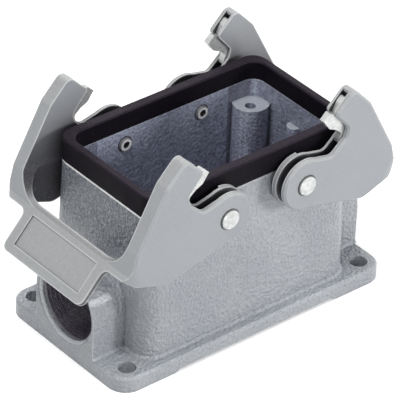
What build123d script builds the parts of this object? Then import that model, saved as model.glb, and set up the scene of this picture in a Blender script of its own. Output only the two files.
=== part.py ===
from build123d import *
import math
import os

os.makedirs("parts", exist_ok=True)

# All lengths are millimetres and all angles are degrees.
# X runs along the housing, the cable entry faces -X, Z is up,
# and the origin is the middle of the foot plane.

# Base flange
end_margin = 12.5
side_margin = 5.0
base_height = 4.9
base_corner_radius = 6.0
cast_edge_bevel = 0.7
bevel_angle = 45.0
foot_relief_length = 59.6
foot_relief_height = 0.9
foot_ramp_length = 2.0
screw_inset_x = 5.9
screw_inset_y = 5.3
screw_hole_diameter = 5.5

# Housing box
rim_length = 72.8
rim_width = 42.6
rim_corner_radius = 4.8
rim_height = 50.9
wall_draft = 1.7
side_wall = 3.1
end_wall = 2.4
cavity_corner_radius = 4.0
cavity_draft = 0.4
floor_height = 4.6

# Rim lip and the tongue that carries the seal
lip_width = 1.3
lip_height = 1.1
tongue_width = 0.8
tongue_height = 2.6

# Cable entry boss and the blank boss at the other end
boss_radius = 12.9
boss_axis_height = 16.5
entry_bore_diameter = 22.5
entry_mouth_diameter = 24.4
blank_core_diameter = 19.0
blank_wall = 3.0
boss_root_length = 6.0

# Corner posts for the contact insert
insert_inset_x = 5.5
insert_inset_y = 4.7
post_radius = 5.5
post_offset = 1.55
post_drop = 4.6
insert_thread_bore = 3.3
insert_thread_depth = 12.0

# Half-round lug on the end wall
lug_radius = 2.1
lug_height = 44.6
lug_centre_depth = 0.4

# Rim seal
seal_overhang = 0.2
seal_height = 7.0
seal_edge_bevel = 0.4
groove_clearance = 0.1

# Lever pivots
pivot_spacing = 28.0
pivot_drop = 3.7
pivot_pad_radius = 5.6
rivet_shank_diameter = 3.5
rivet_head_diameter = 5.8
rivet_head_height = 0.7
rivet_head_chamfer = 0.25
rivet_tail_diameter = 4.0
rivet_tail_length = 0.8
rivet_tail_bore = 2.2
rivet_tail_bore_depth = 2.5
pivot_clearance = 0.06
rivet_seat_clearance = 0.03
side_clearance = 0.15

# Levers
arm_thickness = 5.6
arm_gap = 1.3
cheek_thickness = 1.6
arm_taper = 2.0
taper_start = 10.4
arm_edge_bevel = 0.6
back_wall = 2.0
lobe_radius = 8.0
arm_reach = 36.7
arm_rise = 25.6
arm_fall = 13.5
web_setback = 2.5
web_drop = 6.4
web_depth = 1.9
web_thickness = 1.6
web_flare = 41.8
web_corner_radius = 4.0
web_foot_radius = 9.5
web_inner_radius = 6.0
window_corner_radius = 9.0
grip_width = 35.3
grip_length = 14.4
grip_corner_radius = 2.2
grip_root_radius = 2.2
recess_width = 28.8
recess_length = 11.2
recess_margin = 0.4
recess_depth = 0.5

# Hook clips
clip_clearance = 0.2

# Cuts run past the faces that they open
overrun = 1.0

# Side outline of a lever arm from its pivot, in two runs that the web parts: the
# first number of each row is a share of arm_reach, the second a share of arm_rise,
# the third the corner radius as a share of lobe_radius.
arm_low_shares = [
    (0.600, -0.527, 0.5),
    (0.872, -0.391, 0.6),
]
arm_high_shares = [
    (0.913, -0.160, 0.0),
    (0.881, 0.030, 0.0),
    (0.621, 0.730, 0.25),
    (0.441, 1.000, 0.27),
    (0.262, 0.750, 0.15),
    (0.403, 0.516, 0.25),
    (0.383, 0.396, 0.2),
    (0.253, 0.230, 0.3),
]
lobe_start_angle = 234.0

# The part of an arm whose slot is closed by the back wall, in the same shares
slot_closed_shares = [
    (0.05, -2.0),
    (0.05, -0.29),
    (0.52, -0.16),
    (0.52, 0.62),
    (0.41, 0.93),
    (0.52, 1.50),
    (3.0, 3.0),
    (3.0, -2.0),
]
slot_reach_share = 0.76

# Outline of a hook clip in the same shares: its head, its leg in the slot, its
# back, its tail and the bent side that lines the locking recess
clip_outline_shares = [
    (0.185, 0.676, 0.0),
    (0.243, 0.754, 0.0),
    (0.305, 0.715, 0.0),
    (0.343, 0.836, 0.0),
    (0.390, 0.902, 0.10),
    (0.425, 0.844, 0.08),
    (0.387, 0.688, 0.0),
    (0.414, 0.477, 0.15),
    (0.398, 0.359, 0.0),
    (0.349, 0.320, 0.0),
    (0.351, 0.359, 0.0),
    (0.371, 0.441, 0.15),
    (0.308, 0.516, 0.0),
    (0.243, 0.559, 0.10),
]

# Sizes that follow from the ones above
tan_draft = math.tan(math.radians(wall_draft))
base_length = rim_length + 2 * end_margin
base_width = rim_width + 2 * side_margin
screw_pitch_x = base_length - 2 * screw_inset_x
screw_pitch_y = base_width - 2 * screw_inset_y
wall_run = (rim_height - base_height) * tan_draft
foot_length = rim_length + 2 * wall_run
foot_width = rim_width + 2 * wall_run
cavity_length = rim_length - 2 * end_wall
cavity_width = rim_width - 2 * side_wall
insert_pitch_x = cavity_length - 2 * insert_inset_x
insert_pitch_y = cavity_width - 2 * insert_inset_y
post_height = rim_height - post_drop
pivot_height = rim_height - pivot_drop
arm_inner_face = rim_width / 2 + arm_gap
arm_outer_face = arm_inner_face + arm_thickness
web_reach = arm_reach - web_setback
slot_middle = arm_inner_face + arm_thickness / 2
slot_width = arm_thickness - 2 * cheek_thickness
seal_top = rim_height + seal_height


def rounded_plate(length, width, radius, height, bottom=0, taper=0):
    """A rounded rectangle raised from the given level."""
    outline = RectangleRounded(length, width, radius)
    return Pos(0, 0, bottom) * extrude(outline, amount=height, taper=taper)


def side_face(points):
    """A flat face in the XZ plane through (x, z) points, with corner radii."""
    corners = [(x, z) for x, z, _ in points]
    face = make_face(Polyline(*corners, close=True))
    for x, z, radius in points:
        if radius > 0:
            corner = face.vertices().sort_by_distance((x, z))[0]
            face = fillet(corner, radius)
    return face


def across(face, low, high):
    """A face drawn with x and z, made solid between two y levels."""
    return extrude(Plane.XZ * face, amount=high - low).translate((0, high, 0))


def arch(radius, axis_height, start, end):
    """A half-round arch on straight legs, from one x level to another."""
    outline = Pos(0, axis_height) * Circle(radius)
    legs = Pos(0, axis_height / 2) * Rectangle(2 * radius, axis_height)
    return Pos(start, 0, 0) * extrude(Plane.YZ * (outline + legs), amount=end - start)


def bore_x(diameter, height, start, end):
    """A round bar along X."""
    disc = Pos(0, height) * Circle(diameter / 2)
    return Pos(start, 0, 0) * extrude(Plane.YZ * disc, amount=end - start)


def foot_relief():
    """The raised middle of the underside, with a ramp at each end."""
    low = foot_relief_length / 2
    high = low - foot_ramp_length
    side = make_face(Polyline(
        (-low, 0), (low, 0), (high, foot_relief_height), (-high, foot_relief_height), close=True))
    return across(side, -base_width, base_width)


def post_places():
    return [(x, y) for x in (-1, 1) for y in (-1, 1)]


def insert_posts(cavity_outline):
    posts = Part()
    for sx, sy in post_places():
        x = sx * (insert_pitch_x / 2 + post_offset)
        y = sy * (insert_pitch_y / 2 + post_offset)
        posts += Pos(x, y, 0) * Cylinder(
            post_radius, post_height, align=(Align.CENTER, Align.CENTER, Align.MIN))
    return posts & cavity_outline


def base_with_walls():
    """Flange, drafted box and end bosses in one casting, bevelled at their feet and rims."""
    body = rounded_plate(base_length, base_width, base_corner_radius, base_height)
    body = chamfer(body.faces().sort_by(Axis.Z)[-1].edges(), cast_edge_bevel)
    body += rounded_plate(foot_length, foot_width, rim_corner_radius + wall_run,
                          rim_height - base_height, bottom=base_height, taper=wall_draft)
    root = cavity_length / 2 - boss_root_length
    body += arch(boss_radius, boss_axis_height, root, base_length / 2)
    body += arch(boss_radius, boss_axis_height, -base_length / 2, -root)
    spread = cast_edge_bevel * (1 - 2 * tan_draft)
    body += rounded_plate(foot_length + 2 * spread, foot_width + 2 * spread,
                          rim_corner_radius + wall_run + spread, cast_edge_bevel,
                          bottom=base_height, taper=bevel_angle)
    feet = Rectangle(base_length + 2 * spread, 2 * (boss_radius + spread))
    feet = Pos(0, 0, base_height) * extrude(feet, amount=cast_edge_bevel, taper=bevel_angle)
    return body + (feet & Box(base_length, base_width, rim_height))


def housing():
    body = base_with_walls() - foot_relief()
    pad_reach = arm_inner_face - side_clearance
    for side in (-1, 1):
        pad = Cylinder(pivot_pad_radius, 2 * pad_reach, rotation=(90, 0, 0))
        pad = Pos(side * pivot_spacing / 2, 0, pivot_height) * pad
        below_rim = Pos(0, 0, rim_height) * Box(
            base_length, 2 * base_width, rim_height, align=(Align.CENTER, Align.CENTER, Align.MAX))
        body += pad & below_rim
    root = cavity_length / 2 - boss_root_length
    lip_ring = rounded_plate(cavity_length + 2 * lip_width, cavity_width + 2 * lip_width,
                             cavity_corner_radius + lip_width, lip_height, bottom=rim_height)
    body += lip_ring
    body += rounded_plate(
        cavity_length + 2 * (lip_width + tongue_width), cavity_width + 2 * (lip_width + tongue_width),
        cavity_corner_radius + lip_width + tongue_width, tongue_height, bottom=rim_height)
    inside_lip = rounded_plate(
        cavity_length + 2 * lip_width, cavity_width + 2 * lip_width,
        cavity_corner_radius + lip_width, tongue_height, bottom=rim_height + lip_height)
    body -= inside_lip
    cavity_height = rim_height + lip_height - floor_height
    cavity = Pos(0, 0, rim_height + lip_height) * Rot(180, 0, 0) * extrude(
        RectangleRounded(cavity_length, cavity_width, cavity_corner_radius),
        amount=cavity_height, taper=cavity_draft)
    body -= cavity
    body += insert_posts(cavity)
    lug = Pos(cavity_length / 2 - lug_centre_depth, 0, 0) * Cylinder(
        lug_radius, lug_height, align=(Align.CENTER, Align.CENTER, Align.MIN))
    body += lug & cavity
    bore_end = overrun - cavity_length / 2
    body -= bore_x(entry_bore_diameter, boss_axis_height, -base_length / 2 - overrun, bore_end)
    mouth_depth = (entry_mouth_diameter - entry_bore_diameter) / 2
    mouth = Plane(origin=(-base_length / 2, 0, boss_axis_height), z_dir=(1, 0, 0)) * Cone(
        entry_mouth_diameter / 2, entry_bore_diameter / 2, mouth_depth,
        align=(Align.CENTER, Align.CENTER, Align.MIN))
    body -= mouth
    body -= bore_x(blank_core_diameter, boss_axis_height, root, base_length / 2 - blank_wall)
    for sx, sy in post_places():
        body -= Pos(sx * screw_pitch_x / 2, sy * screw_pitch_y / 2, base_height / 2) * Cylinder(
            screw_hole_diameter / 2, base_height + 2 * overrun)
        body -= Pos(sx * insert_pitch_x / 2, sy * insert_pitch_y / 2, post_height) * Cylinder(
            insert_thread_bore / 2, insert_thread_depth,
            align=(Align.CENTER, Align.CENTER, Align.MAX))
    for side in (-1, 1):
        body -= Pos(side * pivot_spacing / 2, 0, pivot_height) * Cylinder(
            rivet_shank_diameter / 2 + rivet_seat_clearance, 2 * base_width, rotation=(90, 0, 0))
    return body


def rim_seal():
    ring = rounded_plate(rim_length + 2 * seal_overhang, rim_width + 2 * seal_overhang,
                         rim_corner_radius + seal_overhang, seal_height, bottom=rim_height)
    ring -= rounded_plate(cavity_length, cavity_width, cavity_corner_radius,
                          seal_height + 2 * overrun, bottom=rim_height - overrun)
    ring = chamfer(ring.faces().sort_by(Axis.Z)[-1].edges(), seal_edge_bevel)
    ring -= rounded_plate(cavity_length + 2 * lip_width, cavity_width + 2 * lip_width,
                          cavity_corner_radius + lip_width, lip_height + overrun,
                          bottom=rim_height - overrun)
    groove_out = lip_width + tongue_width + groove_clearance
    groove_in = lip_width - groove_clearance
    groove_height = tongue_height + groove_clearance
    groove = rounded_plate(cavity_length + 2 * groove_out, cavity_width + 2 * groove_out,
                           cavity_corner_radius + groove_out, groove_height + overrun,
                           bottom=rim_height - overrun)
    groove -= rounded_plate(cavity_length + 2 * groove_in, cavity_width + 2 * groove_in,
                            cavity_corner_radius + groove_in, groove_height + 3 * overrun,
                            bottom=rim_height - 2 * overrun)
    return ring - groove


def scaled(shares):
    return [(x * arm_reach, z * arm_rise, r * lobe_radius) for x, z, r in shares]


def web_point(depth, inset=0):
    """Point this far down the slope of the web, set in from its outer face."""
    flare = math.radians(web_flare)
    x = web_reach - inset / math.cos(flare) + depth * math.sin(flare)
    return (x, -web_drop - depth * math.cos(flare))


def lever_side():
    """Side outline of a lever about its pivot, without the grip."""
    start = math.radians(lobe_start_angle)
    points = [(0, 0, 0), (lobe_radius * math.cos(start), lobe_radius * math.sin(start), 0)]
    points += scaled(arm_low_shares)
    points += [(*web_point(web_depth), 0), (*web_point(0), 0)]
    points += scaled(arm_high_shares) + [(0, lobe_radius, 0)]
    return side_face(points) + Circle(lobe_radius)


def lever_plan():
    """The outside of a lever in plan: its corners grow rounder towards the foot of the web."""
    sections = []
    for level, radius in ((0, web_corner_radius), (-arm_fall - overrun, web_foot_radius)):
        plan = Rectangle(2 * arm_reach, 2 * arm_outer_face)
        sections.append(Pos(0, 0, level) * fillet(plan.vertices().group_by(Axis.X)[-1], radius))
    return loft(sections, ruled=True) + extrude(sections[0], amount=arm_rise + overrun)


def yoke_half_width(x):
    """Half the space between the arms, which open a little from the lobes to the web."""
    return arm_inner_face + (x - taper_start) * math.tan(math.radians(arm_taper))


def yoke_space():
    """The space between the arms: straight above the web, and slanted along it below."""
    flare = math.radians(web_flare)
    end = web_point(0, web_thickness)[0]
    plan = make_face(Polyline(
        (-end, -arm_inner_face), (taper_start, -arm_inner_face), (end, -yoke_half_width(end)),
        (end, yoke_half_width(end)), (taper_start, arm_inner_face), (-end, arm_inner_face), close=True))
    plan = fillet(plan.vertices().group_by(Axis.X)[-1], web_inner_radius)
    plan = Pos(0, 0, -web_drop) * plan
    above = extrude(plan, amount=2 * arm_rise)
    below = extrude(plan, amount=arm_fall, dir=(math.sin(flare), 0, -math.cos(flare)))
    return above + below


def lever_window():
    """The opening above the web, as seen from the end."""
    half = yoke_half_width(web_reach)
    outline = Pos(0, arm_rise - web_drop) * Rectangle(2 * half, 2 * arm_rise)
    outline = fillet(outline.vertices().group_by(Axis.Y)[0], window_corner_radius)
    return extrude(Plane.YZ * outline, amount=2 * arm_reach)


def lever():
    """A lever about its pivot, its web towards +X."""
    side = lever_side()
    body = across(side, -arm_outer_face, arm_outer_face)
    cheeks = body.faces().sort_by(Axis.Y)
    body = chamfer(cheeks[0].edges() + cheeks[-1].edges(), arm_edge_bevel)
    body &= lever_plan()
    body -= yoke_space()
    body -= lever_window()
    body += grip()

    open_front = offset(side, amount=overrun, kind=Kind.INTERSECTION) - side_face(
        [(x * arm_reach, z * arm_rise, 0) for x, z in slot_closed_shares])
    inner = offset(side, amount=-back_wall, kind=Kind.INTERSECTION)
    reach = Pos((slot_reach_share - 1) * arm_reach, 0) * Rectangle(2 * arm_reach, 4 * arm_rise)
    slot = (open_front + inner) & reach
    slot += offset(hook_side(), amount=clip_clearance, kind=Kind.INTERSECTION)
    for sign in (-1, 1):
        body -= across(slot, sign * slot_middle - slot_width / 2, sign * slot_middle + slot_width / 2)
    return body - Cylinder(rivet_shank_diameter / 2 + pivot_clearance, 2 * base_width, rotation=(90, 0, 0))


def grip():
    """The finger grip: a flared plate with rounded corners and a bare recessed panel."""
    flare = math.radians(web_flare)
    top_x, top_z = web_point(0)
    plane = Plane(origin=(top_x, 0, top_z), x_dir=(0, -1, 0),
                  z_dir=(math.cos(flare), 0, math.sin(flare)))
    half = grip_width / 2
    root = half + 2 * grip_root_radius
    tab = side_face([
        (-root, 0, 0), (root, 0, 0), (root, web_depth, 0), (half, web_depth, grip_root_radius),
        (half, grip_length, grip_corner_radius), (-half, grip_length, grip_corner_radius),
        (-half, web_depth, grip_root_radius), (-root, web_depth, 0)])
    panel = Pos(0, recess_margin + recess_length / 2) * Rectangle(recess_width, recess_length)
    plate = extrude(plane * tab, amount=-web_thickness)
    return plate - extrude(plane * panel, amount=-recess_depth)


def hook_side():
    return side_face(scaled(clip_outline_shares))


def hook_clip():
    half = slot_width / 2 - clip_clearance
    return across(hook_side(), slot_middle - half, slot_middle + half)


def rivet():
    """A semi-tubular rivet on the Y axis, its head outside and its tail in the cavity."""
    head_seat = arm_outer_face + side_clearance
    tail_end = cavity_width / 2 - rivet_tail_length
    shank_r = rivet_shank_diameter / 2
    head_r = rivet_head_diameter / 2
    outline = make_face(Polyline(
        (0, tail_end + rivet_tail_bore_depth),
        (rivet_tail_bore / 2, tail_end + rivet_tail_bore_depth),
        (rivet_tail_bore / 2, tail_end),
        (rivet_tail_diameter / 2, tail_end),
        (rivet_tail_diameter / 2, cavity_width / 2 - side_clearance),
        (shank_r, cavity_width / 2 - side_clearance),
        (shank_r, head_seat),
        (head_r, head_seat),
        (head_r, head_seat + rivet_head_height - rivet_head_chamfer),
        (head_r - rivet_head_chamfer, head_seat + rivet_head_height),
        (0, head_seat + rivet_head_height), close=True))
    return revolve(outline, Axis.Y)


def save(name, shape):
    export_step(shape, f"parts/{name}.step")
    print(name, round(shape.volume, 1), len(shape.solids()))


save("housing", housing())
save("rim_seal", rim_seal())
lever_body = lever()
clip = hook_clip()
pin = rivet()
for name, sign, turn in (("right", 1, 0), ("left", -1, 180)):
    place = Pos(sign * pivot_spacing / 2, 0, pivot_height)
    save(f"{name}_lever", place * Rot(0, 0, turn) * lever_body)
    for side, mirror_y in (("front", -1), ("rear", 1)):
        hook = clip if mirror_y * sign > 0 else mirror(clip, Plane.XZ)
        save(f"{name}_lever_{side}_hook", place * Rot(0, 0, turn) * hook)
        shaft = pin if mirror_y > 0 else mirror(pin, Plane.XZ)
        save(f"{name}_{side}_rivet", place * shaft)
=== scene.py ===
import bpy
import math
from mathutils import Matrix, Vector


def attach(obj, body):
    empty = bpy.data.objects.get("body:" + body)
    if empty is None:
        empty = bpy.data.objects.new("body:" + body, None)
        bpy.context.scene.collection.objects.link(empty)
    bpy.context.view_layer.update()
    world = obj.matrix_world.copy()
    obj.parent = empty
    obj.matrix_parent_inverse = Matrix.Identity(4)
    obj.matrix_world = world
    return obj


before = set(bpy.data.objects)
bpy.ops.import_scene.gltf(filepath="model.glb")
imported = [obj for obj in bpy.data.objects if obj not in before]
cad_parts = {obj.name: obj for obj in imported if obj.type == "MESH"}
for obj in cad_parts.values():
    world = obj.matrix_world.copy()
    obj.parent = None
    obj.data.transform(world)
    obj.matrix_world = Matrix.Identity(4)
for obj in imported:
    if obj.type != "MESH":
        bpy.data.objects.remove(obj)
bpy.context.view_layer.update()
mm = 0.001
white = (1.0, 1.0, 1.0, 1.0)
sharedValues = {  # millimetres: the levers' pivots, mirrored at -X, and the cable entry's axis
    "pivotX": 14.0, "pivotHeight": 47.2, "entryHeight": 16.5,
}
print("frame loaded:", len(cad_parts), "CAD nodes")


# small helpers for the node trees

def srgb(r, g, b):
    # 0 to 255 as a picture stores it, turned by the standard curve into a socket's linear colour
    linear = [((c / 255 + 0.055) / 1.055) ** 2.4 if c > 10 else c / 255 / 12.92 for c in (r, g, b)]
    return (*linear, 1.0)


def newMaterial(name):
    material = bpy.data.materials.new(name)
    material.use_nodes = True
    tree = material.node_tree
    tree.nodes.clear()
    output = tree.nodes.new("ShaderNodeOutputMaterial")
    shader = tree.nodes.new("ShaderNodeBsdfPrincipled")
    tree.links.new(shader.outputs["BSDF"], output.inputs["Surface"])
    return material, tree, shader


def newGroup(name, inputs, outputs):
    tree = bpy.data.node_groups.new(name, "ShaderNodeTree")
    for label, kind, value in inputs:
        socket = tree.interface.new_socket(label, in_out="INPUT", socket_type=kind)
        socket.default_value = value
    for label, kind in outputs:
        tree.interface.new_socket(label, in_out="OUTPUT", socket_type=kind)
    return tree, tree.nodes.new("NodeGroupInput").outputs, tree.nodes.new("NodeGroupOutput").inputs


def placeGroup(tree, group, point, values):
    node = tree.nodes.new("ShaderNodeGroup")
    node.node_tree = group
    tree.links.new(point, node.inputs["Point"])
    for label, value in values.items():
        node.inputs[label].default_value = value
    return node.outputs


def feed(tree, item, socket):
    # a plain number becomes the socket's own value, and another socket is linked to it
    if isinstance(item, (int, float)):
        socket.default_value = item
    else:
        tree.links.new(item, socket)


def calc(tree, operation, *given):
    node = tree.nodes.new("ShaderNodeMath")
    node.operation = operation
    for item, socket in zip(given, node.inputs):
        feed(tree, item, socket)
    return node.outputs[0]


def ramp(tree, value, start, end, low=0.0, high=1.0):
    node = tree.nodes.new("ShaderNodeMapRange")
    for label, item in (("Value", value), ("From Min", start), ("From Max", end),
                        ("To Min", low), ("To Max", high)):
        feed(tree, item, node.inputs[label])
    return node.outputs[0]


def overlap(tree, mask, *others):
    # where all of the masks are
    for other in others:
        mask = calc(tree, "MULTIPLY", mask, other)
    return mask


def inverse(tree, mask):
    return calc(tree, "SUBTRACT", 1.0, mask)


def above(tree, value, limit):
    # where a place or distance is over a limit in millimetres
    return calc(tree, "GREATER_THAN", value, limit * mm)


def below(tree, value, limit):
    return calc(tree, "LESS_THAN", value, limit * mm)


def tinted(tree, colour, mask, tint, amount=1.0):
    # the colour so far, with the tint laid over it where the mask says
    mix = tree.nodes.new("ShaderNodeMix")
    mix.data_type = "RGBA"
    mix.inputs["B"].default_value = srgb(*tint)
    tree.links.new(calc(tree, "MULTIPLY", mask, amount), mix.inputs[0])
    tree.links.new(colour, mix.inputs["A"])
    return mix.outputs["Result"]


def split(tree, vector):
    node = tree.nodes.new("ShaderNodeSeparateXYZ")
    tree.links.new(vector, node.inputs[0])
    return node.outputs


def facing(tree):
    # which way the surface looks, by axis
    return split(tree, tree.nodes.new("ShaderNodeNewGeometry").outputs["Normal"])


def fromAxis(tree, across, along, acrossAt, alongAt):
    # distance from a round axis that runs through a point given in millimetres
    one = calc(tree, "SUBTRACT", across, acrossAt * mm)
    two = calc(tree, "SUBTRACT", along, alongAt * mm)
    squares = calc(tree, "ADD", calc(tree, "MULTIPLY", one, one), calc(tree, "MULTIPLY", two, two))
    return calc(tree, "SQRT", squares)


def fromPivot(tree, x, z):
    # distance from the nearer lever's hinge axis
    return fromAxis(tree, calc(tree, "ABSOLUTE", x), z, sharedValues["pivotX"], sharedValues["pivotHeight"])


def ringLine(tree, distance, radius, width, core):
    # a line round an axis, full over the core's share of its width and soft outside it
    away = calc(tree, "ABSOLUTE", calc(tree, "SUBTRACT", distance, radius * mm))
    return ramp(tree, away, width * mm, core * width * mm)


def dress(material, *nodes):
    for name in nodes:
        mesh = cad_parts[name].data
        mesh.materials.clear()
        mesh.materials.append(material)


# effects that more than one finish uses

effectValues = {
    "cellSmoothness": 0.7, "grainDetail": 2.0, "fleckGlintStart": 0.45, "fleckGlintFull": 0.7,
    "patchDetail": 4.0, "patchStart": 0.3, "patchFull": 0.7,
    "streakDetail": 3.0, "streakStart": 0.4, "streakFull": 0.68,
    "dustAndLightDetail": 3.0, "dustAndLightTiltStart": 0.3, "dustAndLightTiltFull": 0.9,
    "speckStart": 0.35, "speckFull": 0.65, "speckLeast": 0.45,
    "sideStart": 0.35, "sideFull": 0.75, "closenessSamples": 8,
}


def scaleOf(tree, size):
    # the texture scale for a size in millimetres
    return calc(tree, "DIVIDE", 1 / mm, size)


def noiseOf(tree, vector, scale, detail):
    node = tree.nodes.new("ShaderNodeTexNoise")
    node.inputs["Detail"].default_value = detail
    tree.links.new(vector, node.inputs["Vector"])
    feed(tree, scale, node.inputs["Scale"])
    return node.outputs[0]


def hammerSkin():
    # soft cells and finer grain, as a thick sprayed coat leaves on a casting; its bright flecks are partly the
    # coat's speckle and partly painted glints
    v = effectValues
    tree, given, result = newGroup(
        "hammerSkin",
        [("Point", "NodeSocketVector", (0, 0, 0)), ("Cell Size", "NodeSocketFloat", 1.0),
         ("Grain Size", "NodeSocketFloat", 0.3), ("Grain Share", "NodeSocketFloat", 0.3)],
        [("Height", "NodeSocketFloat"), ("Fleck Glint", "NodeSocketFloat")])
    link = tree.links.new
    cells = tree.nodes.new("ShaderNodeTexVoronoi")
    cells.feature = "SMOOTH_F1"
    cells.inputs["Smoothness"].default_value = v["cellSmoothness"]
    link(given["Point"], cells.inputs["Vector"])
    link(scaleOf(tree, given["Cell Size"]), cells.inputs["Scale"])
    grain = noiseOf(tree, given["Point"], scaleOf(tree, given["Grain Size"]), v["grainDetail"])
    blend = tree.nodes.new("ShaderNodeMix")
    link(given["Grain Share"], blend.inputs[0])
    link(cells.outputs["Distance"], blend.inputs[2])
    link(grain, blend.inputs[3])
    link(blend.outputs[0], result["Height"])
    link(ramp(tree, grain, v["fleckGlintStart"], v["fleckGlintFull"]), result["Fleck Glint"])
    return tree


def softPatches():
    # slow changes over a surface: handling, dust and uneven coats
    v = effectValues
    tree, given, result = newGroup(
        "softPatches",
        [("Point", "NodeSocketVector", (0, 0, 0)), ("Patch Size", "NodeSocketFloat", 12.0)],
        [("Mask", "NodeSocketFloat")])
    noise = noiseOf(tree, given["Point"], scaleOf(tree, given["Patch Size"]), v["patchDetail"])
    tree.links.new(ramp(tree, noise, v["patchStart"], v["patchFull"]), result["Mask"])
    return tree


def highlightStreaks():
    # bright marks that run up and down a wall: painted highlights
    v = effectValues
    tree, given, result = newGroup(
        "highlightStreaks",
        [("Point", "NodeSocketVector", (0, 0, 0)), ("Width", "NodeSocketFloat", 1.0),
         ("Length", "NodeSocketFloat", 12.0)],
        [("Mask", "NodeSocketFloat")])
    parts, joined = split(tree, given["Point"]), tree.nodes.new("ShaderNodeCombineXYZ")
    for axis, size in (("X", "Width"), ("Y", "Width"), ("Z", "Length")):
        stretched = calc(tree, "MULTIPLY", parts[axis], scaleOf(tree, given[size]))
        tree.links.new(stretched, joined.inputs[axis])
    noise = noiseOf(tree, joined.outputs[0], 1.0, v["streakDetail"])
    tree.links.new(ramp(tree, noise, v["streakStart"], v["streakFull"]), result["Mask"])
    return tree


def topDustAndLight():
    # fine dust that lies on faces that look up, thicker here and there, together with painted light that makes
    # those faces lighter
    v = effectValues
    tree, given, result = newGroup(
        "topDustAndLight",
        [("Point", "NodeSocketVector", (0, 0, 0)), ("Speck Size", "NodeSocketFloat", 0.5)],
        [("Mask", "NodeSocketFloat")])
    noise = noiseOf(tree, given["Point"], scaleOf(tree, given["Speck Size"]), v["dustAndLightDetail"])
    up = ramp(tree, facing(tree)["Z"], v["dustAndLightTiltStart"], v["dustAndLightTiltFull"])
    speck = ramp(tree, noise, v["speckStart"], v["speckFull"], v["speckLeast"], 1.0)
    tree.links.new(overlap(tree, up, speck), result["Mask"])
    return tree


hammerGroup = hammerSkin()
patchGroup = softPatches()
dustAndLightGroup = topDustAndLight()
highlightStreakGroup = highlightStreaks()


def patchMask(tree, point, size):
    return placeGroup(tree, patchGroup, point, {"Patch Size": size})["Mask"]


def looksAlong(tree, axis):
    # where the surface looks along an axis, either way
    along = calc(tree, "ABSOLUTE", facing(tree)[axis])
    return ramp(tree, along, effectValues["sideStart"], effectValues["sideFull"])


def nearEdge(tree, reach, inside, alone=True):
    # how closed in a point is: inside the solid that marks its outer edges, outside it marks its corners
    node = tree.nodes.new("ShaderNodeAmbientOcclusion")
    node.inside, node.only_local = inside, alone
    node.samples = effectValues["closenessSamples"]
    node.inputs["Distance"].default_value = reach * mm
    return inverse(tree, node.outputs["AO"])


finishValues = {"coatRoughness": 0.14, "cornerFull": 0.85, "edgeStart": 0.1, "edgeFull": 0.4}


def coatedFinish(name, values, places=None):
    # places tints areas by where they are, and says how far the coat's bumps are smoothed there
    material, tree, shader = newMaterial(name)
    link = tree.links.new
    point = tree.nodes.new("ShaderNodeTexCoord").outputs["Object"]
    skin = placeGroup(tree, hammerGroup, point, {
        "Cell Size": values["cellSize"], "Grain Size": values["grainSize"],
        "Grain Share": values["grainShare"]})
    patches = patchMask(tree, point, values["patchSize"])
    base = tree.nodes.new("ShaderNodeMix")
    base.data_type = "RGBA"
    base.inputs["A"].default_value = srgb(*values["colour"])
    base.inputs["B"].default_value = srgb(*values["patchColour"])
    link(patches, base.inputs[0])
    colour = base.outputs["Result"]
    # dust and painted light on the faces that look up
    dustAndLight = placeGroup(tree, dustAndLightGroup, point, {"Speck Size": values["dustAndLightSize"]})["Mask"]
    colour = tinted(tree, colour, dustAndLight, values["dustAndLightColour"], values["dustAndLightAmount"])
    smooth = 0.0
    if places:
        colour, smooth = places(tree, point, colour)
    # bright flecks in the grain: the coat's speckle and painted glints
    colour = tinted(tree, colour, skin["Fleck Glint"], values["fleckGlintColour"], values["fleckGlintAmount"])
    # painted shade in corners, creases, slots and gaps between parts
    closed = nearEdge(tree, values["cornerReach"], False, values["alone"])
    cornerShade = ramp(tree, closed, values["cornerStart"], finishValues["cornerFull"])
    colour = tinted(tree, colour, cornerShade, values["cornerShadeColour"], values["cornerShadeAmount"])
    # lighter outer edges, patchy: worn paint and painted edge highlights
    outer = nearEdge(tree, values["edgeReach"], True)
    edge = ramp(tree, outer, finishValues["edgeStart"], finishValues["edgeFull"])
    wornAndHighlit = overlap(tree, edge, ramp(tree, patches, 0.0, 1.0, values["edgeEven"], 1.0))
    colour = tinted(tree, colour, wornAndHighlit, values["edgeWearAndHighlightColour"], values["edgeWearAndHighlightAmount"])
    link(colour, shader.inputs["Base Color"])
    middle, spread = values["roughness"], values["roughnessSpread"]
    link(ramp(tree, patches, 0.0, 1.0, middle - spread, middle + spread), shader.inputs["Roughness"])
    bump = tree.nodes.new("ShaderNodeBump")
    bump.inputs["Distance"].default_value = values["bumpDepth"] * mm
    bump.inputs["Strength"].default_value = values["bumpStrength"]
    link(overlap(tree, skin["Height"], inverse(tree, smooth)), bump.inputs["Height"])
    link(bump.outputs[0], shader.inputs["Normal"])
    shader.inputs["Metallic"].default_value = values["metallic"]
    shader.inputs["Specular IOR Level"].default_value = values["gloss"]
    shader.inputs["Coat Weight"].default_value = values["coat"]
    shader.inputs["Coat Roughness"].default_value = finishValues["coatRoughness"]
    return material


# places on the casting: its cavity and posts, its end walls, its rim and its cable entry

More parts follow.
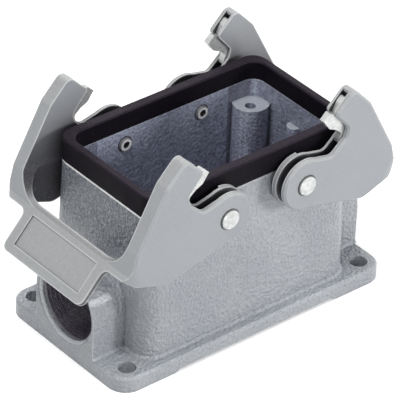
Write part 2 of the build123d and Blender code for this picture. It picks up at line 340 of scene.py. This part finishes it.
castingPlaceValues = {
    "cavityHalfLength": 35.2, "cavityHalfWidth": 19.7, "cavityFloor": 4.0,
    "insideColour": (172, 180, 204), "insideAmount": 0.9, "insideSmooth": 0.55,
    "deepStart": 46.0, "deepFull": 12.0, "deepShadeColour": (124, 124, 154),
    "mottleSize": 0.8, "mottleAndShadeColour": (66, 60, 80), "mottleAmount": 0.65,
    "postX": 24.0, "postEnd": 33.6, "postY": 8.0, "postWall": 19.2, "postWallBlend": 0.6,
    "postShade": 0.6, "postStreak": 0.5,
    "endSpotSize": 3.0, "endSpotAmount": 0.5,
    "streakWidth": 1.1, "streakLength": 14.0, "streakHighlightColour": (206, 212, 224), "streakAmount": 0.12,
    "seatHeight": 44.2, "seatFacing": 0.9, "seatColour": (180, 186, 196),
    "endX": 35.4, "endHeight": 29.0, "endBlend": 8.0, "endShadeColour": (72, 79, 88), "endShadeAmount": 0.85,
    "glintSize": 0.7, "glintStart": 0.55, "glintFull": 0.8, "glintColour": (206, 212, 216),
    "glintAmount": 0.3,
    "rimHeight": 50.05, "rimEndX": 35.6, "rimBlend": 1.5, "rimLightingColour": (255, 255, 255), "rimSide": 0.2,
    "shadowLineRadius": 2.25, "shadowLineWidth": 0.4, "shadowLineCore": 0.6, "shadowLineColour": (20, 18, 26),
    "shadowLineAmount": 0.85,
    "entryRadius": 11.9, "entryMouth": -48.5, "entryDeep": -46.2, "entryEnd": -33.0,
    "entryShadeColour": (78, 70, 84), "entryLipHighlight": (206, 210, 214),
}


def castingPlaces(tree, point, colour):
    v = castingPlaceValues
    x, y, z = split(tree, point)
    fromMiddle, fromCentre = calc(tree, "ABSOLUTE", x), calc(tree, "ABSOLUTE", y)

    # painted shade in the cavity: a bluish tint and dark mottling, darker towards its floor
    inside = overlap(tree, below(tree, fromMiddle, v["cavityHalfLength"]),
                     below(tree, fromCentre, v["cavityHalfWidth"]), above(tree, z, v["cavityFloor"]))
    colour = tinted(tree, colour, inside, v["insideColour"], v["insideAmount"])
    depthShade = overlap(tree, inside, ramp(tree, z, v["deepStart"] * mm, v["deepFull"] * mm))
    colour = tinted(tree, colour, depthShade, v["deepShadeColour"], v["insideAmount"])
    mottle = overlap(tree, inside, patchMask(tree, point, v["mottleSize"]))
    colour = tinted(tree, colour, mottle, v["mottleAndShadeColour"], v["mottleAmount"])

    # painted shade on the posts' sides, painted highlight streaks on their ends, darker spots on the end
    # walls, lighter tops on the posts
    endways = looksAlong(tree, "X")
    byPost = overlap(tree, above(tree, fromMiddle, v["postX"]), below(tree, fromMiddle, v["postEnd"]),
                     above(tree, fromCentre, v["postY"]))
    offWall = ramp(tree, fromCentre, v["postWall"] * mm, (v["postWall"] - v["postWallBlend"]) * mm)
    postSideShade = overlap(tree, byPost, offWall, inverse(tree, endways))
    colour = tinted(tree, colour, overlap(tree, inside, postSideShade), v["mottleAndShadeColour"], v["postShade"])
    onEnd = overlap(tree, inside, above(tree, fromMiddle, v["postEnd"]))
    spots = overlap(tree, onEnd, patchMask(tree, point, v["endSpotSize"]))
    colour = tinted(tree, colour, spots, v["mottleAndShadeColour"], v["endSpotAmount"])
    # bright streaks in the cavity, strongest on the posts' faces that look along X: painted highlights
    streaks = placeGroup(tree, highlightStreakGroup, point, {
        "Width": v["streakWidth"], "Length": v["streakLength"]})["Mask"]
    strength = ramp(tree, overlap(tree, byPost, endways), 0.0, 1.0, v["streakAmount"], v["postStreak"])
    streakHighlight = overlap(tree, streaks, strength)
    colour = tinted(tree, colour, overlap(tree, inside, streakHighlight), v["streakHighlightColour"])
    looksUp = calc(tree, "GREATER_THAN", facing(tree)["Z"], v["seatFacing"])
    seat = overlap(tree, above(tree, z, v["seatHeight"]), looksUp)
    colour = tinted(tree, colour, overlap(tree, inside, seat), v["seatColour"])

    # painted shade on the end walls behind the levers, with painted glints, and a painted highlight on the
    # edge under the seal
    raised = ramp(tree, z, v["endHeight"] * mm, (v["endHeight"] + v["endBlend"]) * mm)
    behindLeverShade = overlap(tree, above(tree, fromMiddle, v["endX"]), raised)
    colour = tinted(tree, colour, behindLeverShade, v["endShadeColour"], v["endShadeAmount"])
    glint = ramp(tree, patchMask(tree, point, v["glintSize"]), v["glintStart"], v["glintFull"])
    colour = tinted(tree, colour, overlap(tree, behindLeverShade, glint), v["glintColour"], v["glintAmount"])
    # a painted highlight on the casting's top edge under the seal, at its ends
    rimStart = v["rimEndX"] - v["rimBlend"]
    atEnd = ramp(tree, fromMiddle, rimStart * mm, v["rimEndX"] * mm, v["rimSide"], 1.0)
    rimHighlight = overlap(tree, above(tree, z, v["rimHeight"]), atEnd, inverse(tree, inside))
    colour = tinted(tree, colour, rimHighlight, v["rimLightingColour"])

    # a painted shadow line round each rivet's tail, and in the cable entry a painted highlight at its mouth
    # that turns to painted shade deeper in
    tailShadowLine = ringLine(tree, fromPivot(tree, x, z), v["shadowLineRadius"], v["shadowLineWidth"], v["shadowLineCore"])
    colour = tinted(tree, colour, overlap(tree, inside, tailShadowLine), v["shadowLineColour"], v["shadowLineAmount"])
    fromEntry = fromAxis(tree, y, z, 0.0, sharedValues["entryHeight"])
    bore = overlap(tree, below(tree, fromEntry, v["entryRadius"]), below(tree, x, v["entryEnd"]))
    # a painted highlight in the bore that turns to painted shade from its mouth inwards
    colour = tinted(tree, colour, bore, v["entryLipHighlight"])
    deeperShade = overlap(tree, bore, ramp(tree, x, v["entryMouth"] * mm, v["entryDeep"] * mm))
    smooth = calc(tree, "MULTIPLY", inside, v["insideSmooth"])
    return tinted(tree, colour, deeperShade, v["entryShadeColour"]), smooth


# the levers get painted shade in the gap beside the housing and in their hollow slots, with a painted shadow
# line round each rivet head

leverPlaceValues = {
    "innerFace": 23.9, "lightHeight": 69.0, "darkHeight": 46.0, "gapShadeColour": (34, 28, 38), "gapShadeAmount": 0.85,
    "hollowMiddle": 25.4, "hollowHalf": 1.35, "hollowReach": 6.0, "hollowStart": 0.25, "hollowFull": 0.5,
    "hollowShadeColour": (12, 11, 14),
    "ringRadius": 3.15, "ringWidth": 0.24, "ringCore": 0.5, "ringColour": (44, 44, 48),
}


def leverPlaces(tree, point, colour):
    v = leverPlaceValues
    x, y, z = split(tree, point)
    fromCentre = calc(tree, "ABSOLUTE", y)
    # painted shade low on the levers' inner faces, beside the housing
    low = ramp(tree, z, v["lightHeight"] * mm, v["darkHeight"] * mm)
    gapShade = overlap(tree, looksAlong(tree, "Y"), below(tree, fromCentre, v["innerFace"]), low)
    colour = tinted(tree, colour, gapShade, v["gapShadeColour"], v["gapShadeAmount"])
    # painted shade deep in each lever's slot
    fromHollow = calc(tree, "ABSOLUTE", calc(tree, "SUBTRACT", fromCentre, v["hollowMiddle"] * mm))
    closedIn = ramp(tree, nearEdge(tree, v["hollowReach"], False), v["hollowStart"], v["hollowFull"])
    hollowShade = overlap(tree, below(tree, fromHollow, v["hollowHalf"]), closedIn)
    colour = tinted(tree, colour, hollowShade, v["hollowShadeColour"], v["gapShadeAmount"])
    ring = ringLine(tree, fromPivot(tree, x, z), v["ringRadius"], v["ringWidth"], v["ringCore"])
    return tinted(tree, colour, ring, v["ringColour"]), 0.0


# finishes: colours from 0 to 255, sizes, depths and reaches in millimetres

castingValues = {
    "colour": (160, 163, 168), "patchColour": (150, 154, 160), "patchSize": 14.0,
    "fleckGlintColour": (210, 213, 218), "fleckGlintAmount": 0.22,
    "cellSize": 0.9, "grainSize": 0.42, "grainShare": 0.3,
    "bumpDepth": 0.8, "bumpStrength": 1.0,
    "dustAndLightColour": (178, 183, 189), "dustAndLightAmount": 0.55, "dustAndLightSize": 0.6,
    "cornerReach": 3.0, "cornerStart": 0.3, "cornerShadeColour": (50, 53, 60), "cornerShadeAmount": 0.8, "alone": False,
    "edgeReach": 0.5, "edgeWearAndHighlightColour": (232, 235, 238), "edgeWearAndHighlightAmount": 0.52, "edgeEven": 0.25,
    "roughness": 0.36, "roughnessSpread": 0.05, "metallic": 0.0, "gloss": 0.5, "coat": 0.25,
}
leverValues = {
    "colour": (155, 158, 162), "patchColour": (151, 154, 159), "patchSize": 22.0,
    "fleckGlintColour": (176, 178, 180), "fleckGlintAmount": 0.25,
    "cellSize": 3.0, "grainSize": 0.35, "grainShare": 0.6,
    "bumpDepth": 0.03, "bumpStrength": 0.5,
    "dustAndLightColour": (196, 196, 192), "dustAndLightAmount": 0.6, "dustAndLightSize": 0.8,
    "cornerReach": 9.0, "cornerStart": 0.2, "cornerShadeColour": (24, 20, 28), "cornerShadeAmount": 0.92, "alone": False,
    "edgeReach": 0.55, "edgeWearAndHighlightColour": (238, 240, 240), "edgeWearAndHighlightAmount": 0.7, "edgeEven": 0.7,
    "roughness": 0.42, "roughnessSpread": 0.04, "metallic": 0.0, "gloss": 0.5, "coat": 0.1,
}
sealValues = {
    "colour": (10, 8, 14), "patchColour": (16, 13, 20), "patchSize": 9.0,
    "fleckGlintColour": (52, 44, 50), "fleckGlintAmount": 0.2,
    "cellSize": 1.6, "grainSize": 0.4, "grainShare": 0.7,
    "bumpDepth": 0.05, "bumpStrength": 0.6,
    "dustAndLightColour": (76, 66, 80), "dustAndLightAmount": 0.42, "dustAndLightSize": 0.45,
    "cornerReach": 1.5, "cornerStart": 0.25, "cornerShadeColour": (5, 4, 6), "cornerShadeAmount": 0.6, "alone": True,
    "edgeReach": 0.3, "edgeWearAndHighlightColour": (60, 52, 64), "edgeWearAndHighlightAmount": 0.35, "edgeEven": 0.3,
    "roughness": 0.6, "roughnessSpread": 0.08, "metallic": 0.0, "gloss": 0.08, "coat": 0.0,
}
platedValues = {
    "colour": (218, 219, 217), "patchColour": (176, 179, 180), "patchSize": 1.6,
    "fleckGlintColour": (250, 250, 248), "fleckGlintAmount": 0.35,
    "cellSize": 0.9, "grainSize": 0.25, "grainShare": 0.5,
    "bumpDepth": 0.05, "bumpStrength": 0.5,
    "dustAndLightColour": (228, 229, 226), "dustAndLightAmount": 0.2, "dustAndLightSize": 0.5,
    "cornerReach": 1.6, "cornerStart": 0.35, "cornerShadeColour": (26, 26, 30), "cornerShadeAmount": 0.9, "alone": False,
    "edgeReach": 0.2, "edgeWearAndHighlightColour": (252, 252, 250), "edgeWearAndHighlightAmount": 0.6, "edgeEven": 0.6,
    "roughness": 0.34, "roughnessSpread": 0.08, "metallic": 0.6, "gloss": 0.5, "coat": 0.0,
}
cutThreadValues = {
    "colour": (150, 152, 158), "patchColour": (128, 130, 138), "patchSize": 4.0,
    "fleckGlintColour": (210, 212, 216), "fleckGlintAmount": 0.3,
    "cellSize": 0.8, "grainSize": 0.3, "grainShare": 0.6,
    "bumpDepth": 0.04, "bumpStrength": 0.5,
    "dustAndLightColour": (90, 86, 94), "dustAndLightAmount": 0.2, "dustAndLightSize": 0.5,
    "cornerReach": 1.0, "cornerStart": 0.3, "cornerShadeColour": (20, 18, 22), "cornerShadeAmount": 0.6, "alone": True,
    "edgeReach": 0.2, "edgeWearAndHighlightColour": (120, 118, 126), "edgeWearAndHighlightAmount": 0.0, "edgeEven": 0.5,
    "roughness": 0.5, "roughnessSpread": 0.08, "metallic": 0.0, "gloss": 0.3, "coat": 0.0,
}


# the rivets' tails are painted bright inside the casting, a painted sheen in place of the metal's mirror,
# since there they see little to mirror; their holes get painted shade and their rims a painted shadow

tailValues = {
    "wall": 20.4, "colour": (250, 250, 252), "metallic": 0.05,
    "holeRadius": 1.12, "holeShadeColour": (14, 12, 18),
    "rimRadius": 1.85, "rimBlend": 0.1, "rimLightingColour": (64, 62, 70),
}


def tailPlaces(tree, point, colour):
    v = tailValues
    x, y, z = split(tree, point)
    tail = below(tree, calc(tree, "ABSOLUTE", y), v["wall"])
    shine = ramp(tree, tail, 0.0, 1.0, platedValues["metallic"], v["metallic"])
    tree.links.new(shine, tree.nodes["Principled BSDF"].inputs["Metallic"])
    colour = tinted(tree, colour, tail, v["colour"])
    radius = fromPivot(tree, x, z)
    # painted shade in each tail's hole and a painted shadow round its rim
    holeShade = overlap(tree, tail, below(tree, radius, v["holeRadius"]))
    colour = tinted(tree, colour, holeShade, v["holeShadeColour"])
    tailRimShadow = ramp(tree, radius, (v["rimRadius"] - v["rimBlend"]) * mm, v["rimRadius"] * mm)
    return tinted(tree, colour, overlap(tree, tail, tailRimShadow), v["rimLightingColour"]), 0.0


castingPaint = coatedFinish("castingPaint", castingValues, castingPlaces)
leverPaint = coatedFinish("leverPaint", leverValues, leverPlaces)
sealRubber = coatedFinish("sealRubber", sealValues)
platedSteel = coatedFinish("platedSteel", platedValues, tailPlaces)
cutThread = coatedFinish("cutThread", cutThreadValues, castingPlaces)

dress(castingPaint, "housing")
dress(sealRubber, "rim_seal")
dress(leverPaint, "right_lever", "left_lever")
dress(platedSteel, *(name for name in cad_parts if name.endswith(("_hook", "_rivet"))))
print("finishes placed")


# thread in the cable entry

threadValues = {
    "boreRadius": 11.25, "ridgeHeight": 0.24, "pitch": 1.41, "start": -47.9, "end": -34.2,
    "stepsPerTurn": 90, "crestSides": 6,
}


def ridgeTree(name):
    # a thin wire wound along the bore, with its centre on the bore's wall
    tree = bpy.data.node_groups.new(name, "GeometryNodeTree")
    for label, kind in (("Bore Radius", "Float"), ("Ridge Height", "Float"), ("Pitch", "Float"),
                        ("Turns", "Float"), ("Steps", "Int"), ("Crest Sides", "Int"),
                        ("Material", "Material")):
        tree.interface.new_socket(label, in_out="INPUT", socket_type="NodeSocket" + kind)
    tree.interface.new_socket("Geometry", in_out="OUTPUT", socket_type="NodeSocketGeometry")
    node, link = tree.nodes.new, tree.links.new
    given, result = node("NodeGroupInput").outputs, node("NodeGroupOutput").inputs
    spiral = node("GeometryNodeCurveSpiral")
    link(given["Steps"], spiral.inputs["Resolution"])
    link(given["Turns"], spiral.inputs["Rotations"])
    link(given["Bore Radius"], spiral.inputs["Start Radius"])
    link(given["Bore Radius"], spiral.inputs["End Radius"])
    link(calc(tree, "MULTIPLY", given["Pitch"], given["Turns"]), spiral.inputs["Height"])
    upright = node("GeometryNodeSetCurveNormal")
    upright.mode = "Z_UP"
    link(spiral.outputs[0], upright.inputs["Curve"])
    crest = node("GeometryNodeCurvePrimitiveCircle")
    link(given["Crest Sides"], crest.inputs["Resolution"])
    link(given["Ridge Height"], crest.inputs["Radius"])
    sweep = node("GeometryNodeCurveToMesh")
    sweep.inputs["Fill Caps"].default_value = True
    link(upright.outputs[0], sweep.inputs["Curve"])
    link(crest.outputs["Curve"], sweep.inputs["Profile Curve"])
    realize, paint = node("GeometryNodeRealizeInstances"), node("GeometryNodeSetMaterial")
    link(sweep.outputs[0], realize.inputs[0])
    link(realize.outputs[0], paint.inputs["Geometry"])
    link(given["Material"], paint.inputs["Material"])
    link(paint.outputs[0], result["Geometry"])
    return tree


def grown(name, tree, place, body, values):
    # the mesh that a geometry tree makes, as a piece of its own that rides on a body
    holder = bpy.data.objects.new(name + "Maker", bpy.data.meshes.new(name + "Maker"))
    bpy.context.scene.collection.objects.link(holder)
    modifier = holder.modifiers.new("maker", "NODES")
    modifier.node_group = tree
    for item in tree.interface.items_tree:
        if item.item_type == "SOCKET" and item.in_out == "INPUT":
            modifier[item.identifier] = values[item.name]
    bpy.context.view_layer.update()
    made = holder.evaluated_get(bpy.context.evaluated_depsgraph_get())
    mesh = bpy.data.meshes.new_from_object(made)
    bpy.data.objects.remove(holder)
    mesh.transform(place)
    piece = bpy.data.objects.new(name, mesh)
    bpy.context.scene.collection.objects.link(piece)
    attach(piece, body)


threadTurns = (threadValues["end"] - threadValues["start"]) / threadValues["pitch"]
entryStart = Matrix.Translation((threadValues["start"] * mm, 0, sharedValues["entryHeight"] * mm))
entryPlace = entryStart @ Matrix.Rotation(math.radians(90), 4, "Y")
grown("entry_thread", ridgeTree("threadRidges"), entryPlace, "housing", {
    "Bore Radius": threadValues["boreRadius"] * mm, "Ridge Height": threadValues["ridgeHeight"] * mm,
    "Pitch": threadValues["pitch"] * mm, "Turns": threadTurns, "Steps": threadValues["stepsPerTurn"],
    "Crest Sides": threadValues["crestSides"], "Material": cutThread})
print("thread turns:", round(threadTurns, 1))


# floor, world, lamps

stageValues = {  # floor size and lamp target in metres, floor drop in millimetres
    "floorSize": 3.0, "floorDrop": 0.02, "floorColour": (0.86, 0.86, 0.86), "floorRoughness": 0.9,
    "floorGlow": 0.42, "worldLight": 0.25, "lampTarget": (0, 0, 0.03),
}
lampValues = {  # power in watts, size and place in metres
    "keyLamp": (7.5, 0.36, (0.66, -1.0, 0.34)),
    "frontLamp": (1.5, 0.36, (-0.62, -0.86, 0.42)),
    "fillLamp": (6.0, 0.45, (-0.4, -0.14, 0.98)),
    "backLamp": (4.2, 0.5, (0.4, 0.95, 0.5)),
    "sideLamp": (1.2, 0.3, (0.8, 0.1, 0.25)),
}


def lightPathMask(tree):
    # 1 for what the camera, gloss and glass see, 0 for what lights the object
    path = tree.nodes.new("ShaderNodeLightPath")
    seen = calc(tree, "MAXIMUM", path.outputs["Is Camera Ray"], path.outputs["Is Glossy Ray"])
    return calc(tree, "MAXIMUM", seen, path.outputs["Is Transmission Ray"])


def makeWorld():
    world = bpy.data.worlds.new("studioWorld")
    bpy.context.scene.world = world
    world.use_nodes = True
    tree = world.node_tree
    tree.nodes.clear()
    output = tree.nodes.new("ShaderNodeOutputWorld")
    light, seen = tree.nodes.new("ShaderNodeBackground"), tree.nodes.new("ShaderNodeBackground")
    light.inputs["Strength"].default_value = stageValues["worldLight"]
    light.inputs["Color"].default_value = white
    seen.inputs["Color"].default_value = white
    mix = tree.nodes.new("ShaderNodeMixShader")
    tree.links.new(lightPathMask(tree), mix.inputs[0])
    tree.links.new(light.outputs[0], mix.inputs[1])
    tree.links.new(seen.outputs[0], mix.inputs[2])
    tree.links.new(mix.outputs[0], output.inputs["Surface"])


def makeFloor():
    half = stageValues["floorSize"] / 2
    corners = [(-half, -half, 0), (half, -half, 0), (half, half, 0), (-half, half, 0)]
    mesh = bpy.data.meshes.new("studioFloor")
    mesh.from_pydata(corners, [], [(0, 1, 2, 3)])
    floor = bpy.data.objects.new("studioFloor", mesh)
    bpy.context.scene.collection.objects.link(floor)
    floor.location.z = -stageValues["floorDrop"] * mm
    material, tree, shader = newMaterial("floorPaper")
    shader.inputs["Base Color"].default_value = (*stageValues["floorColour"], 1.0)
    shader.inputs["Roughness"].default_value = stageValues["floorRoughness"]
    shader.inputs["Emission Color"].default_value = white
    glow = calc(tree, "MULTIPLY", lightPathMask(tree), stageValues["floorGlow"])
    tree.links.new(glow, shader.inputs["Emission Strength"])
    mesh.materials.append(material)


def makeLamp(name, power, size, place):
    lamp = bpy.data.lights.new(name, "AREA")
    lamp.energy = power
    lamp.shape = "DISK"
    lamp.size = size
    holder = bpy.data.objects.new(name, lamp)
    bpy.context.scene.collection.objects.link(holder)
    holder.location = place
    away = Vector(place) - Vector(stageValues["lampTarget"])
    holder.rotation_euler = away.to_track_quat("Z", "Y").to_euler()


makeWorld()
makeFloor()
for lampName, (power, size, place) in lampValues.items():
    makeLamp(lampName, power, size, place)
print("stage and lamps ready")


# camera at the photograph's angle

cameraValues = {  # eye, lens and sensor in millimetres, clip distances in metres, roll in degrees
    "lens": 332.587, "sensorWidth": 36, "clipStart": 0.01, "clipEnd": 20,
    "eye": (-567.901, -654.442, 624.256), "sight": (0.540788, 0.623978, -0.564092), "roll": 2.63635,
}


def makeCamera():
    data = bpy.data.cameras.new("photoCamera")
    data.lens = cameraValues["lens"]
    data.sensor_width = cameraValues["sensorWidth"]
    data.clip_start, data.clip_end = cameraValues["clipStart"], cameraValues["clipEnd"]
    camera = bpy.data.objects.new("photoCamera", data)
    bpy.context.scene.collection.objects.link(camera)
    back = -Vector(cameraValues["sight"]).normalized()
    level = Vector((0, 0, 1)).cross(back).normalized()
    upright = back.cross(level)
    turn = math.radians(cameraValues["roll"])
    right = level * math.cos(turn) + upright * math.sin(turn)
    up = upright * math.cos(turn) - level * math.sin(turn)
    axes = Matrix((right, up, back)).transposed().to_4x4()
    camera.matrix_world = Matrix.Translation(Vector(cameraValues["eye"]) * mm) @ axes
    bpy.context.scene.camera = camera


makeCamera()
bpy.context.scene.view_settings.view_transform = "Standard"
print("camera placed")
